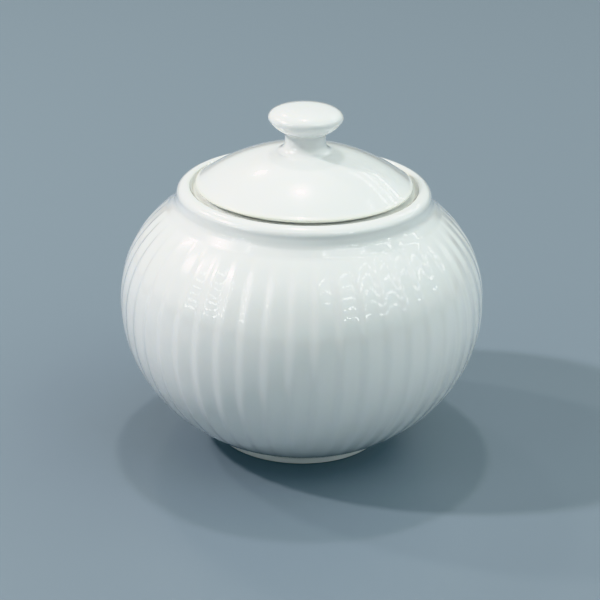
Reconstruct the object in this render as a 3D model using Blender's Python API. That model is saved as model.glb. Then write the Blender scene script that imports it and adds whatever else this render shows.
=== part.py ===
"""Porcelain sugar bowl: a ribbed globe bowl on a foot ring, and a domed lid that lifts off.

Z is up, and the origin is the centre of the foot ring's bearing face. Outlines are written
as (radius, height) pairs in millimetres and turned about Z.
"""

import math

import bmesh
import bpy
from mathutils import Matrix

MM = 0.001

# Bowl, outside
BODY_RADIUS = 55.0
WIDEST_HEIGHT = 43.7
LOWER_HEIGHT = 47.1
LOWER_POWER = 2.0
UPPER_HEIGHT = 40.3
UPPER_POWER = 2.2
BELLY_START_RADIUS = 28.0
SHOULDER_END_RADIUS = 40.6

# Ribs, laid like pleats: counter-clockwise from a crest the surface sinks slowly to the valley
# and then steps up to the next crest. One crest faces the front, -Y.
RIB_COUNT = 48
RIB_DEPTH = 0.42
RIB_STEP_SHARE = 0.32
RIB_LOWEST = 5.0
RIB_LOW_FADE = 14.0
RIB_HIGHEST = 73.4
RIB_HIGH_FADE = 7.0

# Foot ring
FOOT_RADIUS = 25.9
FOOT_WIDTH = 2.6
FOOT_EDGE = 0.6
FOOT_WALL_TOP = 1.9
BASE_HEIGHT = 2.7
BASE_SLOPE = 1.2

# Rim and the ledge that carries the lid
RIM_RADIUS = 38.0
RIM_WIDEST_HEIGHT = 77.4
RIM_TOP = 80.3
RIM_CREST_RADIUS = 34.3
RIM_INNER_RADIUS = 33.4
RIM_INNER_ROUND = 0.7
RIM_COVE = (38.3, 75.5)
LEDGE_RADIUS = 33.1
LEDGE_HEIGHT = 79.0
LEDGE_ROUND = 0.4
MOUTH_RADIUS = 28.4
MOUTH_EDGE = 0.5
MOUTH_DEPTH = 1.5

# Wall and hollow
WALL = 3.2
FLOOR_HEIGHT = 6.2
FLOOR_POWER = 2.6
SHOULDER_OVERHANG = 2.0

# Lid
SEAT_GAP = 0.3
LIP_RADIUS = 32.4
LIP_ROUND = 0.5
DOME_RADIUS = 53.5
DOME_TOP = 91.8
DOME_RINGS = 5
BRIM_RADIUS = 30.4
BRIM_DROP = 1.05
SEAT_RADIUS = 29.9
SEAT_EDGE = 0.4
FLANGE_CLEARANCE = 1.0
FLANGE_THICKNESS = 2.4
FLANGE_EDGE = 0.8
FLANGE_BOTTOM = 71.8
FLANGE_ROOT = 79.8
UNDERSIDE_RADIUS = 23.0
UNDERSIDE_RINGS = 4

# Knob
KNOB_RADIUS = 11.15
KNOB_WIDEST_HEIGHT = 101.0
KNOB_TOP = 104.7
KNOB_TOP_POWER = 2.3
KNOB_UNDERSIDE = 96.9
KNOB_UNDERSIDE_POWER = 1.4
NECK_RADIUS = 6.1
NECK_FOOT_RADIUS = 8.8
NECK_FLARE = 2.8

# Facets of the lid round the axis
LID_COLUMNS = 48

# Finish
BOWL_COLOUR = (0.86, 0.88, 0.87)
LID_COLOUR = (0.87, 0.89, 0.88)
GLAZE_ROUGHNESS = 0.12
SHARP_ANGLE = 35.0


def clear_scene():
    for obj in list(bpy.data.objects):
        bpy.data.objects.remove(obj, do_unlink=True)


def glaze(name, colour):
    material = bpy.data.materials.new(name)
    material.use_nodes = True
    shader = material.node_tree.nodes["Principled BSDF"]
    shader.inputs["Base Color"].default_value = (*colour, 1.0)
    shader.inputs["Metallic"].default_value = 0.0
    shader.inputs["Roughness"].default_value = GLAZE_ROUGHNESS
    material.diffuse_color = (*colour, 1.0)
    return material


def superellipse(width, height, power, start, stop, steps):
    """Points from one angle to another, in degrees, of a quarter or half superellipse."""
    points = []
    for step in range(steps + 1):
        angle = math.radians(start + (stop - start) * step / steps)
        across = abs(math.cos(angle)) ** (2.0 / power)
        upward = abs(math.sin(angle)) ** (2.0 / power)
        points.append((width * across, math.copysign(height * upward, math.sin(angle))))
    return points


def superellipse_angle(width, power, radius):
    """The angle, in degrees, where a superellipse of this width has this radius."""
    return math.degrees(math.acos((radius / width) ** (power / 2.0)))


def raised(points, height):
    return [(radius, rise + height) for radius, rise in points]


def arc(centre, width, height, start, stop, steps):
    """An elliptic arc about a centre; 0 degrees points outwards and 90 degrees up."""
    points = []
    for step in range(steps + 1):
        angle = math.radians(start + (stop - start) * step / steps)
        points.append((centre[0] + width * math.cos(angle), centre[1] + height * math.sin(angle)))
    return points


def smooth_step(value):
    value = min(max(value, 0.0), 1.0)
    return value * value * (3.0 - 2.0 * value)


def turn(outline, columns):
    """A closed mesh made by turning an outline, which starts and ends on the axis, about Z."""
    mesh = bmesh.new()
    chain = [mesh.verts.new((radius * MM, 0.0, height * MM)) for radius, height in outline]
    edges = [mesh.edges.new(pair) for pair in zip(chain, chain[1:])]
    bmesh.ops.spin(
        mesh,
        geom=chain + edges,
        axis=(0.0, 0.0, 1.0),
        cent=(0.0, 0.0, 0.0),
        angle=math.tau,
        steps=columns,
        use_merge=True,
    )
    on_axis = [vertex for vertex in mesh.verts if vertex.co.xy.length < 0.001 * MM]
    bmesh.ops.remove_doubles(mesh, verts=on_axis, dist=0.002 * MM)
    return mesh


def finish(name, mesh, material):
    """Make the object, shaded smooth but for its sharp edges."""
    bmesh.ops.recalc_face_normals(mesh, faces=mesh.faces)
    data = bpy.data.meshes.new(name)
    mesh.to_mesh(data)
    mesh.free()
    data.shade_smooth()
    data.set_sharp_from_angle(angle=math.radians(SHARP_ANGLE))
    data.materials.append(material)
    obj = bpy.data.objects.new(name, data)
    bpy.context.scene.collection.objects.link(obj)
    return obj


def body_outline():
    """The globe from above the foot ring to below the rim, along the ribs' crests."""
    low = superellipse_angle(BODY_RADIUS, LOWER_POWER, BELLY_START_RADIUS)
    high = superellipse_angle(BODY_RADIUS, UPPER_POWER, SHOULDER_END_RADIUS)
    lower = superellipse(BODY_RADIUS, LOWER_HEIGHT, LOWER_POWER, -low, 0.0, 6)
    upper = superellipse(BODY_RADIUS, UPPER_HEIGHT, UPPER_POWER, 0.0, high, 6)
    return raised(lower[:-1] + upper, WIDEST_HEIGHT)


def outside_outline():
    """From the foot ring's bearing face up the outside to the top of the rim."""
    foot = [
        (FOOT_RADIUS - FOOT_EDGE, 0.0),
        (FOOT_RADIUS, FOOT_EDGE),
        (FOOT_RADIUS, FOOT_WALL_TOP),
    ]
    rim_width = RIM_RADIUS - RIM_CREST_RADIUS
    rim_height = RIM_TOP - RIM_WIDEST_HEIGHT
    rim = arc((RIM_CREST_RADIUS, RIM_WIDEST_HEIGHT), rim_width, rim_height, 0.0, 90.0, 4)
    return foot + body_outline() + [RIM_COVE] + rim


def hollow_outline():
    """From the rim's inner edge over the ledge, down the inside wall to the floor's centre."""
    width = BODY_RADIUS - WALL
    top = UPPER_HEIGHT - WALL
    bottom = WIDEST_HEIGHT - FLOOR_HEIGHT
    high = superellipse_angle(width, UPPER_POWER, MOUTH_RADIUS + SHOULDER_OVERHANG)
    ledge = [
        (RIM_INNER_RADIUS, RIM_TOP - RIM_INNER_ROUND),
        (LEDGE_RADIUS, LEDGE_HEIGHT + LEDGE_ROUND),
        (LEDGE_RADIUS - LEDGE_ROUND, LEDGE_HEIGHT),
        (MOUTH_RADIUS + MOUTH_EDGE, LEDGE_HEIGHT),
        (MOUTH_RADIUS, LEDGE_HEIGHT - MOUTH_EDGE),
        (MOUTH_RADIUS, LEDGE_HEIGHT - MOUTH_DEPTH),
    ]
    upper = superellipse(width, top, UPPER_POWER, high, 0.0, 4)
    lower = superellipse(width, bottom, FLOOR_POWER, 0.0, -90.0, 6)
    return ledge + raised(upper + lower[1:], WIDEST_HEIGHT)


def base_outline():
    """From the centre of the base out to the foot ring's inner bearing edge."""
    inner = FOOT_RADIUS - FOOT_WIDTH
    return [
        (0.0, BASE_HEIGHT),
        (inner - BASE_SLOPE, BASE_HEIGHT),
        (inner, FOOT_EDGE),
        (inner + FOOT_EDGE, 0.0),
    ]


def is_inside(vertex):
    """Whether a vertex at the globe's height lies on the hollow's wall, not on the outside."""
    half = UPPER_HEIGHT if vertex.co.z > WIDEST_HEIGHT * MM else LOWER_HEIGHT
    power = UPPER_POWER if vertex.co.z > WIDEST_HEIGHT * MM else LOWER_POWER
    rise = abs(vertex.co.z / MM - WIDEST_HEIGHT) / half
    outside = BODY_RADIUS * (1.0 - rise ** power) ** (1.0 / power)
    return vertex.co.xy.length < (outside - 0.5 * WALL) * MM


def pleat(mesh):
    """Make every second column a valley between two ribs, fading towards foot and rim."""
    pitch = math.tau / RIB_COUNT
    shift = Matrix.Rotation((0.5 - RIB_STEP_SHARE) * pitch, 3, "Z")
    for vertex in mesh.verts:
        column = round(math.atan2(vertex.co.y, vertex.co.x) / (0.5 * pitch))
        if column % 2 == 0:
            continue
        vertex.co = shift @ vertex.co
        height = vertex.co.z / MM
        if not RIB_LOWEST < height < RIB_HIGHEST or is_inside(vertex):
            continue
        fade = smooth_step((height - RIB_LOWEST) / RIB_LOW_FADE)
        fade *= smooth_step((RIB_HIGHEST - height) / RIB_HIGH_FADE)
        vertex.co.xy *= 1.0 - RIB_DEPTH * MM * fade / vertex.co.xy.length


def make_bowl():
    mesh = turn(base_outline() + outside_outline() + hollow_outline(), 2 * RIB_COUNT)
    pleat(mesh)
    return finish("bowl", mesh, glaze("bowl_glaze", BOWL_COLOUR))


def knob_outline():
    """From the top's centre round the knob's edge and down its neck to the dome."""
    rise = KNOB_TOP - KNOB_WIDEST_HEIGHT
    drop = KNOB_WIDEST_HEIGHT - KNOB_UNDERSIDE
    overhang = KNOB_RADIUS - NECK_RADIUS
    cap = superellipse(KNOB_RADIUS, rise, KNOB_TOP_POWER, 90.0, 0.0, 7)
    cap = [(0.0, rise)] + cap[1:]
    underside = superellipse(overhang, drop, KNOB_UNDERSIDE_POWER, 0.0, -90.0, 5)
    underside = [(NECK_RADIUS + radius, height) for radius, height in underside]
    flare_centre = (NECK_FOOT_RADIUS, dome_point(NECK_FOOT_RADIUS)[1] + NECK_FLARE)
    flare = arc(flare_centre, NECK_FOOT_RADIUS - NECK_RADIUS, NECK_FLARE, 180.0, 270.0, 4)
    return raised(cap + underside[1:], KNOB_WIDEST_HEIGHT) + flare


def dome_point(radius, inset=0.0):
    """The point of the dome's outside, or of a shell inside it, at a radius."""
    sphere = DOME_RADIUS - inset
    return (radius, DOME_TOP - DOME_RADIUS + math.sqrt(sphere ** 2 - radius ** 2))


def lid_outline():
    """The whole lid from the knob's top to the centre of the dome's underside."""
    step = (BRIM_RADIUS - NECK_FOOT_RADIUS) / DOME_RINGS
    dome = [dome_point(NECK_FOOT_RADIUS + ring * step) for ring in range(1, DOME_RINGS + 1)]
    lip_centre = (LIP_RADIUS - LIP_ROUND, dome[-1][1] - BRIM_DROP - LIP_ROUND)
    lip = arc(lip_centre, LIP_ROUND, LIP_ROUND, 90.0, -90.0, 4)
    seat = LEDGE_HEIGHT + SEAT_GAP
    flange = MOUTH_RADIUS - FLANGE_CLEARANCE
    inside = flange - FLANGE_THICKNESS
    bearing = [
        (SEAT_RADIUS + SEAT_EDGE, lip[-1][1] - SEAT_EDGE),
        (SEAT_RADIUS, seat + SEAT_EDGE),
        (SEAT_RADIUS - SEAT_EDGE, seat),
        (flange + SEAT_EDGE, seat),
        (flange, seat - SEAT_EDGE),
        (flange, FLANGE_BOTTOM + FLANGE_EDGE),
        (flange - FLANGE_EDGE, FLANGE_BOTTOM),
        (inside + FLANGE_EDGE, FLANGE_BOTTOM),
        (inside, FLANGE_BOTTOM + FLANGE_EDGE),
        (inside, FLANGE_ROOT),
    ]
    step = UNDERSIDE_RADIUS / UNDERSIDE_RINGS
    underside = [dome_point(UNDERSIDE_RADIUS - ring * step, WALL) for ring in range(UNDERSIDE_RINGS + 1)]
    return knob_outline() + dome + lip + bearing + underside


def make_lid():
    mesh = turn(lid_outline(), LID_COLUMNS)
    return finish("lid", mesh, glaze("lid_glaze", LID_COLOUR))


clear_scene()
make_bowl()
make_lid()
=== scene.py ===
"""The looks of the lidded sugar bowl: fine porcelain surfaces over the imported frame."""

import math

import bpy
import numpy as np
from mathutils import Euler, Matrix, Vector


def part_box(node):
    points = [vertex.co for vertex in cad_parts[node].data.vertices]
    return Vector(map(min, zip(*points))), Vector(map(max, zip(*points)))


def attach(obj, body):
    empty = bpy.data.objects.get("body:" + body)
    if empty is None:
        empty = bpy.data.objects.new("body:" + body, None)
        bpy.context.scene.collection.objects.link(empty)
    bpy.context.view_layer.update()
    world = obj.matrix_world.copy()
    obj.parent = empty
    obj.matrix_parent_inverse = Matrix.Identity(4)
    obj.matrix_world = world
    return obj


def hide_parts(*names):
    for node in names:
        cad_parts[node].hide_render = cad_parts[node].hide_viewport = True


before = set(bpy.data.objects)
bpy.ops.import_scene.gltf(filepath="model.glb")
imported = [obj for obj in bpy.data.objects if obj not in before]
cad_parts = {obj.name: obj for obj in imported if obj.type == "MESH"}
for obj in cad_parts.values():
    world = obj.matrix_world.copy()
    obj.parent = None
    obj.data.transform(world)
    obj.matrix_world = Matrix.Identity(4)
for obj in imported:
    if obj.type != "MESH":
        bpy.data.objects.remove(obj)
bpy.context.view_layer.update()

MM = 0.001

# Driving sizes in millimetres, read from the frame where it holds them
bowl_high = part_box("bowl")[1] / MM
lid_low, lid_high = (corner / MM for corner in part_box("lid"))

BODY_RADIUS = bowl_high.x
RIM_TOP = bowl_high.z
KNOB_TOP = lid_high.z
LIP_RADIUS = lid_high.x
FLANGE_BOTTOM = lid_low.z

# Globe
WIDEST_HEIGHT = 43.7
LOWER_HEIGHT = 47.1
LOWER_POWER = 2.0
UPPER_HEIGHT = 40.3
UPPER_POWER = 2.2
BELLY_START_RADIUS = 28.0
SHOULDER_END_RADIUS = 41.0
WALL = 3.2
FLOOR_HEIGHT = 6.2
FLOOR_POWER = 2.6
HOLLOW_OVERHANG = 2.0

# Ribs, laid like pleats: a slow fall from each crest and a short step up to the next
RIB_COUNT = 48
RIB_DEPTH = 0.42
RIB_STEP_SHARE = 0.32
RIB_SOFTNESS = 0.07
RIB_LOWEST = 5.0
RIB_LOW_FADE = 14.0
RIB_HIGHEST = 73.4
RIB_HIGH_FADE = 7.0
RIB_SAMPLES = 1024

# Foot ring
FOOT_RADIUS = 25.9
FOOT_WIDTH = 2.6
FOOT_ROUND = 0.7
FOOT_SLOPE = 0.7
FOOT_TOP_ROUND = 0.9
BASE_HEIGHT = 2.7
BASE_ROUND = 1.2

# Rim and ledge
RIM_RADIUS = 38.0
RIM_WIDEST_HEIGHT = 77.7
RIM_POWER = 2.1
RIM_CREST_RADIUS = 34.9
RIM_INNER_RADIUS = 34.0
RIM_INNER_ROUND = 0.6
GALLERY_RADIUS = 33.0
GALLERY_ROUND = 0.5
LEDGE_HEIGHT = 79.0
MOUTH_RADIUS = 28.4
MOUTH_ROUND = 0.7
LEDGE_UNDERCUT = 0.9
LEDGE_UNDERCUT_ROUND = 0.6
NECK_COVE = (38.7, 75.2)
NECK_COVE_ROUND = 4.4

# Lid
SEAT_GAP = 0.15
SEAT_HEIGHT = LEDGE_HEIGHT + SEAT_GAP
SEAT_RADIUS = 29.9
SEAT_ROUND = 0.3
LIP_ROUND = 0.5
LIP_START = 0.4
LIP_SLOPE = 0.1
BRIM_RADIUS = 30.4
BRIM_DROP = 1.05
BRIM_ROUND = 2.0
BRIM_END_RADIUS = 28.8
DOME_RADIUS = 53.5
DOME_TOP = 91.8
CEILING_RADIUS = 22.5
CEILING_STEP = 1.5
FLANGE_RADIUS = 27.4
FLANGE_THICKNESS = 2.4
FLANGE_ROUND = 0.9
FLANGE_ROOT_HEIGHT = 80.6
FLANGE_ROOT_ROUND = 2.5

# Knob
KNOB_RADIUS = 11.15
KNOB_WIDEST_HEIGHT = 101.0
KNOB_TOP_POWER = 2.3
KNOB_UNDERSIDE = 96.9
KNOB_UNDERSIDE_POWER = 1.4
KNOB_UNDERSIDE_START = -70.0
NECK_RADIUS = 6.1
NECK_TOP_ROUND = 0.9
NECK_FOOT_RADIUS = 8.8
NECK_FLARE = 2.8

# Glaze and clay
BOWL_COLOUR = (0.86, 0.88, 0.87)
LID_COLOUR = (0.87, 0.89, 0.88)
CLOUD_SHADE = 0.985
CLOUD_NOISE = (45.0, 2.0)
# Cream tint of clay under thin glaze, which is also painted bounce light in the ledge's recess
# and at the lip
THIN_GLAZE_AND_BOUNCE_COLOUR = (0.84, 0.85, 0.76, 1.0)
THIN_GLAZE_AND_BOUNCE_SHARE = 0.75
BARE_CLAY_COLOUR = (0.78, 0.76, 0.71, 1.0)
GLAZE_ROUGHNESS = 0.22
CLAY_ROUGHNESS = 0.85
COAT_ROUGHNESS = 0.035
COAT_IOR = 1.5
SUBSURFACE_WEIGHT = 0.25
SUBSURFACE_RADIUS = (1.0, 0.9, 0.75)
SUBSURFACE_SCALE = 0.0016

# Relief too fine for the mesh: noise scale, noise detail, depth in metres
SAG = (70.0, 1.0, 0.00010)
PEEL = (380.0, 2.0, 0.00006)
GRAIN = (5200.0, 3.0, 0.00006)
RELIEF_STRENGTH = 0.5

# The clay is bare this near the height of a bearing face. This near the ledge's outer corner and
# the edge of the lip, the glaze runs thin and a cream tint is painted in for bounce light
BARE_MARGIN = 0.12
LEDGE_THIN_AND_BOUNCE_RISE = 0.8
LEDGE_THIN_AND_BOUNCE_REACH = 2.4
LIP_THIN_AND_BOUNCE_REACH = 1.3

# Floor and room
FLOOR_SIZE = 6.0
FLOOR_COLOUR = (0.196, 0.250, 0.296, 1.0)
FLOOR_ROUGHNESS = 0.42
ROOM_COLOUR = (0.885, 1.0, 0.97, 1.0)

# Room light: direction of the brightest part, how sharply it falls off round that, how sharply
# it falls off towards the top of the room, strength
ROOM_LIGHT = [
    ((0.0, 1.0, 0.0), 3.0, 4.0, 3.3),
    ((0.0, -1.0, 0.0), 3.0, 4.0, 3.7),
    ((-1.0, 0.0, 0.0), 3.0, 4.0, 1.6),
    ((1.0, 0.0, 0.0), 3.0, 4.0, 1.9),
    ((1.0, 0.0, 1.0), 5.0, 0.0, 1.0),
    ((0.0, 0.0, 1.0), 7.0, 0.0, 0.20),
]

# Sine of the elevation below which the room darkens towards the horizon
HORIZON_RISE = 0.5

# Lamps: name, (azimuth, elevation) in degrees, power in watts
LAMPS = [
    ("left_lamp", (-84.0, 42.0), 11.2),
    ("back_left_lamp", (-113.0, 38.0), 3.3),
    ("back_lamp", (-154.0, 45.0), 0.9),
    ("top_lamp", (-173.0, 73.0), 4.0),
]
LAMP_DISTANCE = 1.4
LAMP_DIAMETER = 0.10
LAMP_COLOUR = (1.0, 0.93, 0.92)

# Level light tubes, one above another: azimuth of their middles and elevations, in degrees
TUBE_STACKS = [
    (-57.0, (14.0, 20.0, 26.0, 32.0, 38.0, 44.0, 50.0)),
    (46.0, (22.0, 31.0, 40.0, 49.0, 58.0)),
    (76.0, (22.0, 31.0, 40.0, 49.0, 58.0)),
    (112.0, (26.0, 35.0, 44.0, 53.0)),
    (145.0, (30.0, 36.0, 42.0)),
]
TUBE_LENGTH = 0.55
TUBE_WIDTH = 0.01
TUBE_POWER = 0.34
TUBE_COLOUR = (1.0, 1.0, 1.0)

# Camera: lengths in metres, angles in degrees, lens and sensor in millimetres
CAMERA_LENS = 115.9
CAMERA_SENSOR = 36.0
CAMERA_CLIP_START = 0.01
CAMERA_DISTANCE = 0.5893
CAMERA_PITCH = 23.06
CAMERA_AZIMUTH = 2.2
CAMERA_ROLL = 1.3
CAMERA_TARGET = (-0.0005, 0.0429)

# Mesh fineness: points along an outline are this far apart
COLUMNS_PER_RIB = 12
LID_COLUMNS = 256
FINE = 0.8
COARSE = 2.4
COARSE_WITHIN_RADIUS = 24.0
LID_SPACING = 1.2
EDGE_SPACING = 0.3
ROUND_SPACING = 0.25
RIM_INNER_SPACING = 0.2
LIP_SPACING = 0.1


# ---------------------------------------------------------------- outlines

# An outline is a chain of (radius, height) points in millimetres, with the solid on its left.

# A superellipse of this power is a plain ellipse
ELLIPSE = 2.0

# Half the angle of a corner that is too nearly straight to be rounded
STRAIGHT = math.radians(89.0)

# Points closer than this are one point
TOUCHING = 1e-4


def steps_for(length, spacing):
    return max(2, math.ceil(length / spacing))


def superellipse(width, height, power, start, stop, spacing):
    """Points of a superellipse between two angles in degrees, about the origin."""
    span = abs(math.radians(stop - start))
    count = steps_for(span * max(width, height), spacing)
    points = []
    for step in range(count + 1):
        angle = math.radians(start + (stop - start) * step / count)
        across = abs(math.cos(angle)) ** (2.0 / power)
        upward = abs(math.sin(angle)) ** (2.0 / power)
        points.append((width * across, math.copysign(height * upward, math.sin(angle))))
    return points


def superellipse_angle(width, power, radius):
    """The angle, in degrees, where a superellipse of this width has this radius."""
    return math.degrees(math.acos((radius / width) ** (power / 2.0)))


def moved(points, radius, height):
    return [(r + radius, z + height) for r, z in points]


def turned_inward(points, radius, height):
    """The points about (radius, height), with their radii running towards the axis."""
    return [(radius - r, height + z) for r, z in points]


def rounded(corners):
    """Straight lines through (radius, height, fillet) corners, with the corners rounded."""
    points = [corners[0][:2]]
    for before, corner, after in zip(corners, corners[1:], corners[2:]):
        here = Vector(corner[:2])
        back = (Vector(before[:2]) - here).normalized()
        ahead = (Vector(after[:2]) - here).normalized()
        half = back.angle(ahead) / 2.0
        if corner[2] == 0.0 or half > STRAIGHT:
            points.append(tuple(here))
            continue
        reach = corner[2] / math.tan(half)
        centre = here + (back + ahead).normalized() * corner[2] / math.sin(half)
        start = here + back * reach - centre
        turn = start.angle_signed(here + ahead * reach - centre)
        count = steps_for(abs(turn) * corner[2], ROUND_SPACING)
        for step in range(count + 1):
            arm = start.copy()
            arm.rotate(Matrix.Rotation(-turn * step / count, 2))
            points.append(tuple(centre + arm))
    points.append(corners[-1][:2])
    return points


def evened(points, spacing, coarse_within):
    """The same outline with its long stretches cut, more coarsely within a radius of the axis."""
    result = [points[0]]
    for start, stop in zip(points, points[1:]):
        length = math.dist(start, stop)
        if length < TOUCHING:
            continue
        wanted = COARSE if stop[0] < coarse_within else spacing
        count = max(1, round(length / wanted))
        for step in range(1, count + 1):
            share = step / count
            result.append(tuple(a + (b - a) * share for a, b in zip(start, stop)))
    return result


def joined(parts, spacing, coarse_within=0.0):
    """One evened outline of all the parts, without the points that two neighbours share."""
    outline = []
    for part in parts:
        for point in evened(part, spacing, coarse_within):
            if not outline or math.dist(point, outline[-1]) > TOUCHING:
                outline.append(point)
    return np.array(outline)


# ---------------------------------------------------------------- turned meshes

def smooth_step(value):
    value = np.clip(value, 0.0, 1.0)
    return value * value * (3.0 - 2.0 * value)


def outline_normals(outline):
    """Unit normals of an outline, pointing out of the solid that it turns into."""
    ahead = np.gradient(outline, axis=0)
    normals = np.stack([ahead[:, 1], -ahead[:, 0]], axis=1)
    return normals / np.linalg.norm(normals, axis=1, keepdims=True)


def turned(name, outline, columns, sink=None):
    """A closed smooth mesh turned about Z. sink(rows, angles) gives how far each column of each
    row lies below the outline, in millimetres, along the outline's normal."""
    rows = outline[1:-1]
    angles = math.tau * np.arange(columns) / columns - math.pi / 2.0
    radius = np.repeat(rows[:, :1], columns, axis=1)
    height = np.repeat(rows[:, 1:], columns, axis=1)
    if sink is not None:
        normals = outline_normals(outline)[1:-1]
        depth = sink(rows, angles)
        radius = radius - depth * normals[:, :1]
        height = height - depth * normals[:, 1:]
    grid = np.stack([radius * np.cos(angles), radius * np.sin(angles), height], axis=2)
    poles = [[0.0, 0.0, outline[0, 1]], [0.0, 0.0, outline[-1, 1]]]
    vertices = np.concatenate([grid.reshape(-1, 3), poles]) * MM

    first = np.arange(columns)
    after = (first + 1) % columns
    start = (np.arange(len(rows) - 1) * columns)[:, None]
    quads = np.stack([start + first, start + after,
                      start + after + columns, start + first + columns], axis=2).reshape(-1, 4)
    bottom, top = len(vertices) - 2, len(vertices) - 1
    last = (len(rows) - 1) * columns
    fans = [(bottom, b, a) for a, b in zip(first, after)]
    fans += [(top, last + a, last + b) for a, b in zip(first, after)]
    faces = quads.tolist() + [tuple(map(int, fan)) for fan in fans]
    data = bpy.data.meshes.new(name)
    data.from_pydata(vertices.tolist(), [], faces)
    data.shade_smooth()
    data.update()
    piece = bpy.data.objects.new(name, data)
    bpy.context.scene.collection.objects.link(piece)
    return piece


def paint_rows(piece, attribute, weights, columns):
    """Store one weight for each row of a turned mesh as a point attribute."""
    values = np.concatenate([np.repeat(weights[1:-1], columns), [weights[0], weights[-1]]])
    layer = piece.data.attributes.new(attribute, "FLOAT", "POINT")
    layer.data.foreach_set("value", values.astype(np.float32))


def near(outline, place, reach):
    """A weight that falls from 1 at a place on the outline to 0 at a distance in millimetres."""
    distance = np.linalg.norm(outline - np.array(place), axis=1)
    return smooth_step(1.0 - distance / reach)


# ---------------------------------------------------------------- bowl

def globe_height(radius, half, power):
    """How far from its widest circle the globe's outside has this radius."""
    return half * (1.0 - (radius / BODY_RADIUS) ** power) ** (1.0 / power)


def globe_radius(height):
    """The globe's outside radius at each height."""
    rise = height - WIDEST_HEIGHT
    half = np.where(rise > 0.0, UPPER_HEIGHT, LOWER_HEIGHT)
    power = np.where(rise > 0.0, UPPER_POWER, LOWER_POWER)
    share = np.clip(np.abs(rise) / half, 0.0, 1.0)
    return BODY_RADIUS * np.clip(1.0 - share ** power, 0.0, 1.0) ** (1.0 / power)


def foot_outline():
    """From the centre of the base, round the foot ring, to the globe."""
    inner = FOOT_RADIUS - FOOT_WIDTH
    top = WIDEST_HEIGHT - globe_height(FOOT_RADIUS, LOWER_HEIGHT, LOWER_POWER)
    belly_start = WIDEST_HEIGHT - globe_height(BELLY_START_RADIUS, LOWER_HEIGHT, LOWER_POWER)
    return rounded([
        (0.0, BASE_HEIGHT, 0.0),
        (inner - FOOT_SLOPE, BASE_HEIGHT, BASE_ROUND),
        (inner, 0.0, FOOT_ROUND),
        (FOOT_RADIUS, 0.0, FOOT_ROUND),
        (FOOT_RADIUS, top, FOOT_TOP_ROUND),
        (BELLY_START_RADIUS, belly_start, 0.0),
    ])


def globe_outline():
    low = superellipse_angle(BODY_RADIUS, LOWER_POWER, BELLY_START_RADIUS)
    high = superellipse_angle(BODY_RADIUS, UPPER_POWER, SHOULDER_END_RADIUS)
    lower = superellipse(BODY_RADIUS, LOWER_HEIGHT, LOWER_POWER, -low, 0.0, FINE)
    upper = superellipse(BODY_RADIUS, UPPER_HEIGHT, UPPER_POWER, 0.0, high, FINE)
    return moved(lower[:-1] + upper, 0.0, WIDEST_HEIGHT)


def rim_outlines(shoulder):
    """From the shoulder's end, through the cove under the rim, over the rim to its inside."""
    neck = rounded([
        (*shoulder, 0.0),
        (*NECK_COVE, NECK_COVE_ROUND),
        (RIM_RADIUS, RIM_WIDEST_HEIGHT, 0.0),
    ])
    outer = superellipse(RIM_RADIUS - RIM_CREST_RADIUS, RIM_TOP - RIM_WIDEST_HEIGHT,
                         RIM_POWER, 0.0, 90.0, EDGE_SPACING)
    outer = moved(outer, RIM_CREST_RADIUS, RIM_WIDEST_HEIGHT)
    inner = superellipse(RIM_CREST_RADIUS - RIM_INNER_RADIUS, RIM_INNER_ROUND,
                         ELLIPSE, 90.0, 0.0, RIM_INNER_SPACING)
    inner = turned_inward(inner, RIM_CREST_RADIUS, RIM_TOP - RIM_INNER_ROUND)
    return [neck, outer, inner]


def hollow_outline():
    """From under the ledge, down the inside to the centre of the floor."""
    width = BODY_RADIUS - WALL
    start = superellipse_angle(width, UPPER_POWER, MOUTH_RADIUS + HOLLOW_OVERHANG)
    upper = superellipse(width, UPPER_HEIGHT - WALL, UPPER_POWER, start, 0.0, COARSE)
    lower = superellipse(width, WIDEST_HEIGHT - FLOOR_HEIGHT, FLOOR_POWER, 0.0, -90.0, COARSE)
    return moved(upper + lower[1:-1], 0.0, WIDEST_HEIGHT) + [(0.0, FLOOR_HEIGHT)]


def ledge_outline(hollow_start):
    """From the rim's inside, over the ledge and through the mouth, to the hollow."""
    return rounded([
        (RIM_INNER_RADIUS, RIM_TOP - RIM_INNER_ROUND, 0.0),
        (GALLERY_RADIUS, LEDGE_HEIGHT, GALLERY_ROUND),
        (MOUTH_RADIUS, LEDGE_HEIGHT, MOUTH_ROUND),
        (MOUTH_RADIUS, hollow_start[1] + LEDGE_UNDERCUT, LEDGE_UNDERCUT_ROUND),
        (*hollow_start, 0.0),
    ])


def bowl_outline():
    """From the centre of the base, up the outside, over the rim, and down the hollow."""
    globe = globe_outline()
    hollow = hollow_outline()
    parts = [foot_outline(), globe, *rim_outlines(globe[-1]), ledge_outline(hollow[0]), hollow]
    return joined(parts, FINE, COARSE_WITHIN_RADIUS)


def rib_sink(rows, angles):
    """How far the pleated ribs lie below the globe's outline, for each row and column."""
    samples = np.arange(RIB_SAMPLES) / RIB_SAMPLES
    fall = 1.0 - RIB_STEP_SHARE
    wave = np.where(samples < fall, samples / fall, (1.0 - samples) / RIB_STEP_SHARE)
    offsets = np.minimum(samples, 1.0 - samples)
    blur = np.exp(-0.5 * (offsets / RIB_SOFTNESS) ** 2)
    wave = np.real(np.fft.ifft(np.fft.fft(wave) * np.fft.fft(blur / blur.sum())))
    wave -= wave.min()
    turn = (angles + math.pi / 2.0) / math.tau * RIB_COUNT
    across = np.interp(turn % 1.0, samples, wave, period=1.0)
    height = rows[:, 1]
    fade = smooth_step((height - RIB_LOWEST) / RIB_LOW_FADE)
    fade *= smooth_step((RIB_HIGHEST - height) / RIB_HIGH_FADE)
    outside = globe_radius(height) - rows[:, 0] < 0.5 * WALL
    return RIB_DEPTH * np.outer(fade * outside, across)


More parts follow.
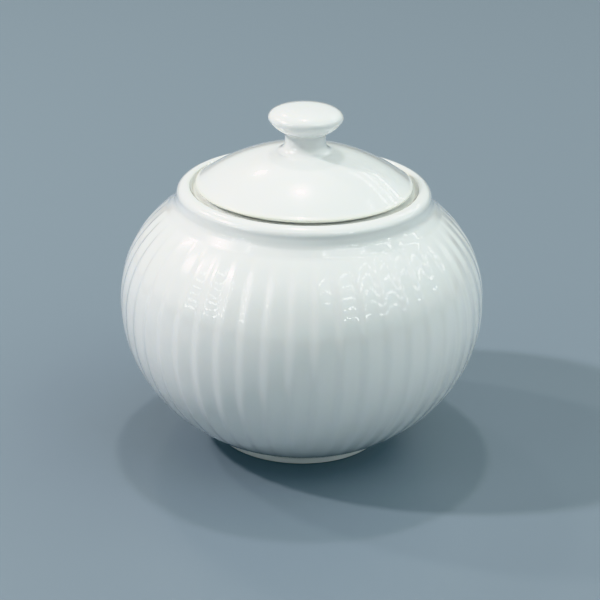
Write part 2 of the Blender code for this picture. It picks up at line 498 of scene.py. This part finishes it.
def make_bowl(material):
    outline = bowl_outline()
    columns = RIB_COUNT * COLUMNS_PER_RIB
    piece = turned("bowl_porcelain", outline, columns, rib_sink)
    bearing = (outline[:, 1] < BARE_MARGIN) * 1.0
    # Painted cream bounce light in the ledge's recess, together with the tint of thin glaze there
    ledge = near(outline, (GALLERY_RADIUS, LEDGE_HEIGHT + LEDGE_THIN_AND_BOUNCE_RISE), LEDGE_THIN_AND_BOUNCE_REACH)
    paint_rows(piece, "bare_clay", bearing, columns)
    paint_rows(piece, "thin_glaze_and_bounce", ledge, columns)
    piece.data.materials.append(material)
    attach(piece, "bowl")
    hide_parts("bowl")


# ---------------------------------------------------------------- lid

def dome_point(radius, inset=0.0):
    """A point of the dome's sphere, or of one that lies deeper by the inset."""
    sphere = DOME_RADIUS - inset
    return (radius, DOME_TOP - DOME_RADIUS + math.sqrt(sphere ** 2 - radius ** 2))


def lip_height():
    return dome_point(BRIM_RADIUS)[1] - BRIM_DROP - LIP_ROUND


def underside_outlines():
    """From the centre of the dome's underside, round the flange and seat, to the lip."""
    inside = FLANGE_RADIUS - FLANGE_THICKNESS
    lip_bottom = lip_height() - LIP_ROUND
    radii = np.arange(0.0, CEILING_RADIUS + CEILING_STEP / 2.0, CEILING_STEP)
    ceiling = [dome_point(radius, WALL) for radius in radii]
    flange = rounded([
        (*ceiling[-1], 0.0),
        (inside, FLANGE_ROOT_HEIGHT, FLANGE_ROOT_ROUND),
        (inside, FLANGE_BOTTOM, FLANGE_ROUND),
        (FLANGE_RADIUS, FLANGE_BOTTOM, FLANGE_ROUND),
        (FLANGE_RADIUS, SEAT_HEIGHT, SEAT_ROUND),
        (SEAT_RADIUS, SEAT_HEIGHT, SEAT_ROUND),
        (SEAT_RADIUS + LIP_START, lip_bottom - LIP_SLOPE, SEAT_ROUND),
        (LIP_RADIUS - LIP_ROUND, lip_bottom, 0.0),
    ])
    return [ceiling, flange]


def top_outlines():
    """From the lip's underside, over the brim, to the foot of the knob's neck."""
    lip = superellipse(LIP_ROUND, LIP_ROUND, ELLIPSE, -90.0, 90.0, LIP_SPACING)
    lip = moved(lip, LIP_RADIUS - LIP_ROUND, lip_height())
    brim = rounded([
        (*lip[-1], 0.0),
        (*dome_point(BRIM_RADIUS), BRIM_ROUND),
        (*dome_point(BRIM_END_RADIUS), 0.0),
    ])
    dome = [dome_point(radius) for radius in np.arange(BRIM_END_RADIUS, NECK_FOOT_RADIUS, -FINE)]
    return [lip, brim, dome]


def knob_outlines():
    """From the foot of the neck, up to the centre of the knob's top."""
    flare = superellipse(NECK_FOOT_RADIUS - NECK_RADIUS, NECK_FLARE,
                         ELLIPSE, -90.0, 0.0, ROUND_SPACING)
    flare_top = dome_point(NECK_FOOT_RADIUS)[1] + NECK_FLARE
    flare = turned_inward(flare, NECK_FOOT_RADIUS, flare_top)
    underside = superellipse(KNOB_RADIUS - NECK_RADIUS, KNOB_WIDEST_HEIGHT - KNOB_UNDERSIDE,
                             KNOB_UNDERSIDE_POWER, KNOB_UNDERSIDE_START, 0.0, EDGE_SPACING)
    underside = moved(underside, NECK_RADIUS, KNOB_WIDEST_HEIGHT)
    neck = rounded([
        (*flare[-1], 0.0),
        (NECK_RADIUS, KNOB_UNDERSIDE, NECK_TOP_ROUND),
        (*underside[0], 0.0),
    ])
    cap = superellipse(KNOB_RADIUS, KNOB_TOP - KNOB_WIDEST_HEIGHT, KNOB_TOP_POWER,
                       0.0, 90.0, EDGE_SPACING)
    cap = moved(cap[:-1], 0.0, KNOB_WIDEST_HEIGHT) + [(0.0, KNOB_TOP)]
    return [flare, neck, underside, cap]


def make_lid(material):
    outline = joined([*underside_outlines(), *top_outlines(), *knob_outlines()], LID_SPACING)
    piece = turned("lid_porcelain", outline, LID_COLUMNS)
    seat = (np.abs(outline[:, 1] - SEAT_HEIGHT) < BARE_MARGIN) * 1.0
    # Painted cream bounce light at the lip's edge, together with the tint of thin glaze there
    lip = near(outline, (LIP_RADIUS, lip_height()), LIP_THIN_AND_BOUNCE_REACH)
    paint_rows(piece, "bare_clay", seat, LID_COLUMNS)
    paint_rows(piece, "thin_glaze_and_bounce", lip, LID_COLUMNS)
    piece.data.materials.append(material)
    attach(piece, "lid")
    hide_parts("lid")


# ---------------------------------------------------------------- materials

# Places of the factor, the two colours and the mixed colour among a Mix node's sockets
MIX_INPUTS = (0, 6, 7)
MIX_RESULT = 2


def add(tree, kind, **settings):
    """A node with its settings; names that match an input set the input's value."""
    node = tree.nodes.new(kind)
    for key, value in settings.items():
        label = key.replace("_", " ").title()
        if label in node.inputs:
            node.inputs[label].default_value = value
        else:
            setattr(node, key, value)
    return node


def feed(tree, socket, value):
    """Link a socket to another one, or give it a constant."""
    if isinstance(value, bpy.types.NodeSocket):
        tree.links.new(value, socket)
    else:
        socket.default_value = value


def mixed(tree, factor, first, second):
    """A mix of two colours or normals, each a socket or a constant."""
    node = add(tree, "ShaderNodeMix", data_type="RGBA")
    for place, value in zip(MIX_INPUTS, (factor, first, second)):
        feed(tree, node.inputs[place], value)
    return node.outputs[MIX_RESULT]


def porcelain(name, colour):
    """White porcelain under clear glaze: bare clay where the attribute bare_clay is 1, and a
    cream tint where the thin-glaze attribute is 1: clay showing through thin glaze, and painted
    bounce light."""
    material = bpy.data.materials.new(name)
    material.use_nodes = True
    tree = material.node_tree
    shader = tree.nodes["Principled BSDF"]
    place = add(tree, "ShaderNodeTexCoord").outputs["Object"]
    bare = add(tree, "ShaderNodeAttribute", attribute_name="bare_clay").outputs["Fac"]
    thin_and_bounce = add(tree, "ShaderNodeAttribute", attribute_name="thin_glaze_and_bounce").outputs["Fac"]

    def noise(scale, detail):
        node = add(tree, "ShaderNodeTexNoise", scale=scale, detail=detail)
        tree.links.new(place, node.inputs["Vector"])
        return node.outputs["Fac"]

    def remapped(source, low, high):
        node = add(tree, "ShaderNodeMapRange", to_min=low, to_max=high)
        tree.links.new(source, node.inputs["Value"])
        return node.outputs["Result"]

    def relief(scale, detail, depth, under=None):
        node = add(tree, "ShaderNodeBump", strength=RELIEF_STRENGTH, distance=depth)
        tree.links.new(noise(scale, detail), node.inputs["Height"])
        if under:
            tree.links.new(under, node.inputs["Normal"])
        return node.outputs["Normal"]

    shaded = tuple(channel * CLOUD_SHADE for channel in colour)
    glaze = mixed(tree, noise(*CLOUD_NOISE), (*colour, 1.0), (*shaded, 1.0))
    # Painted cream bounce light, with the clay tint of thin glaze, where the thin-glaze weight is
    # high
    glaze = mixed(tree, remapped(thin_and_bounce, 0.0, THIN_GLAZE_AND_BOUNCE_SHARE), glaze, THIN_GLAZE_AND_BOUNCE_COLOUR)
    tree.links.new(mixed(tree, bare, glaze, BARE_CLAY_COLOUR), shader.inputs["Base Color"])

    sag = relief(*SAG)
    tree.links.new(relief(*PEEL, sag), shader.inputs["Coat Normal"])
    tree.links.new(mixed(tree, bare, sag, relief(*GRAIN)), shader.inputs["Normal"])
    roughness = remapped(bare, GLAZE_ROUGHNESS, CLAY_ROUGHNESS)
    tree.links.new(roughness, shader.inputs["Roughness"])
    tree.links.new(remapped(bare, 1.0, 0.0), shader.inputs["Coat Weight"])
    shader.inputs["Coat Roughness"].default_value = COAT_ROUGHNESS
    shader.inputs["Coat IOR"].default_value = COAT_IOR
    shader.inputs["Subsurface Weight"].default_value = SUBSURFACE_WEIGHT
    shader.inputs["Subsurface Radius"].default_value = SUBSURFACE_RADIUS
    shader.inputs["Subsurface Scale"].default_value = SUBSURFACE_SCALE
    return material


# ---------------------------------------------------------------- stage, light and camera

def make_floor():
    bpy.ops.mesh.primitive_plane_add(size=FLOOR_SIZE)
    floor = bpy.context.object
    floor.name = "studio_floor"
    material = bpy.data.materials.new("studio_floor")
    material.use_nodes = True
    shader = material.node_tree.nodes["Principled BSDF"]
    shader.inputs["Base Color"].default_value = FLOOR_COLOUR
    shader.inputs["Roughness"].default_value = FLOOR_ROUGHNESS
    floor.data.materials.append(material)


def make_lamp(name, direction, power, colour, size):
    """A light that faces the object from an (azimuth, elevation) in degrees. It is round where
    the size is (diameter,), and a level tube where it is (length, width)."""
    azimuth, elevation = (math.radians(angle) for angle in direction)
    away = Vector((math.sin(azimuth) * math.cos(elevation),
                   -math.cos(azimuth) * math.cos(elevation), math.sin(elevation)))
    data = bpy.data.lights.new(name, "AREA")
    if len(size) == 1:
        data.shape = "DISK"
    else:
        data.shape = "RECTANGLE"
        data.size_y = size[1]
    data.size = size[0]
    data.energy = power
    data.color = colour
    lamp = bpy.data.objects.new(name, data)
    lamp.location = Vector((0.0, 0.0, WIDEST_HEIGHT * MM)) + away * LAMP_DISTANCE
    lamp.rotation_euler = away.to_track_quat("Z", "Y").to_euler()
    bpy.context.scene.collection.objects.link(lamp)


def make_lights():
    for name, direction, power in LAMPS:
        make_lamp(name, direction, power, LAMP_COLOUR, (LAMP_DIAMETER,))
    tube_size = (TUBE_LENGTH, TUBE_WIDTH)
    for azimuth, elevations in TUBE_STACKS:
        for elevation in elevations:
            make_lamp("tube", (azimuth, elevation), TUBE_POWER, TUBE_COLOUR, tube_size)


def make_room():
    """A pale room round the object, its brightness fading smoothly from one side to the next."""
    world = bpy.data.worlds.new("studio")
    world.use_nodes = True
    tree = world.node_tree
    direction = add(tree, "ShaderNodeTexCoord").outputs["Generated"]

    def calculate(operation, *values):
        node = add(tree, "ShaderNodeMath", operation=operation)
        for socket, value in zip(node.inputs, values):
            feed(tree, socket, value)
        return node.outputs[0]

    def facing(centre):
        dot = add(tree, "ShaderNodeVectorMath", operation="DOT_PRODUCT")
        tree.links.new(direction, dot.inputs[0])
        dot.inputs[1].default_value = Vector(centre).normalized()
        return dot.outputs["Value"]

    rise = calculate("ABSOLUTE", facing((0.0, 0.0, 1.0)))
    above_floor = calculate("MINIMUM", calculate("DIVIDE", rise, HORIZON_RISE), 1.0)
    below_top = calculate("SUBTRACT", 1.0, rise)
    total = 0.0
    for centre, sharpness, lowness, strength in ROOM_LIGHT:
        half = calculate("MULTIPLY_ADD", facing(centre), 0.5, 0.5)
        around = calculate("POWER", half, sharpness)
        low = calculate("POWER", below_top, lowness)
        total = calculate("MULTIPLY_ADD", calculate("MULTIPLY", around, low), strength, total)
    total = calculate("MULTIPLY", total, above_floor)
    background = tree.nodes["Background"]
    background.inputs["Color"].default_value = ROOM_COLOUR
    tree.links.new(total, background.inputs["Strength"])
    bpy.context.scene.world = world


def make_camera():
    """A long lens a little above the object, looking down at its middle."""
    data = bpy.data.cameras.new("camera")
    data.sensor_width = CAMERA_SENSOR
    data.lens = CAMERA_LENS
    data.clip_start = CAMERA_CLIP_START
    camera = bpy.data.objects.new("camera", data)
    pitch = math.radians(CAMERA_PITCH)
    away = Vector((0.0, -math.cos(pitch), math.sin(pitch))) * CAMERA_DISTANCE
    turn = Matrix.Rotation(math.radians(CAMERA_AZIMUTH), 4, "Z")
    target = Vector((CAMERA_TARGET[0], 0.0, CAMERA_TARGET[1]))
    stance = Euler((math.pi / 2.0 - pitch, 0.0, 0.0)).to_matrix().to_4x4()
    roll = Matrix.Rotation(math.radians(CAMERA_ROLL), 4, "Z")
    camera.matrix_world = turn @ Matrix.Translation(target + away) @ stance @ roll
    bpy.context.scene.collection.objects.link(camera)
    bpy.context.scene.camera = camera


bpy.context.scene.view_settings.view_transform = "Khronos PBR Neutral"
make_camera()
make_floor()
make_room()
make_lights()
make_bowl(porcelain("bowl_glaze", BOWL_COLOUR))
make_lid(porcelain("lid_glaze", LID_COLOUR))

bpy.context.view_layer.update()
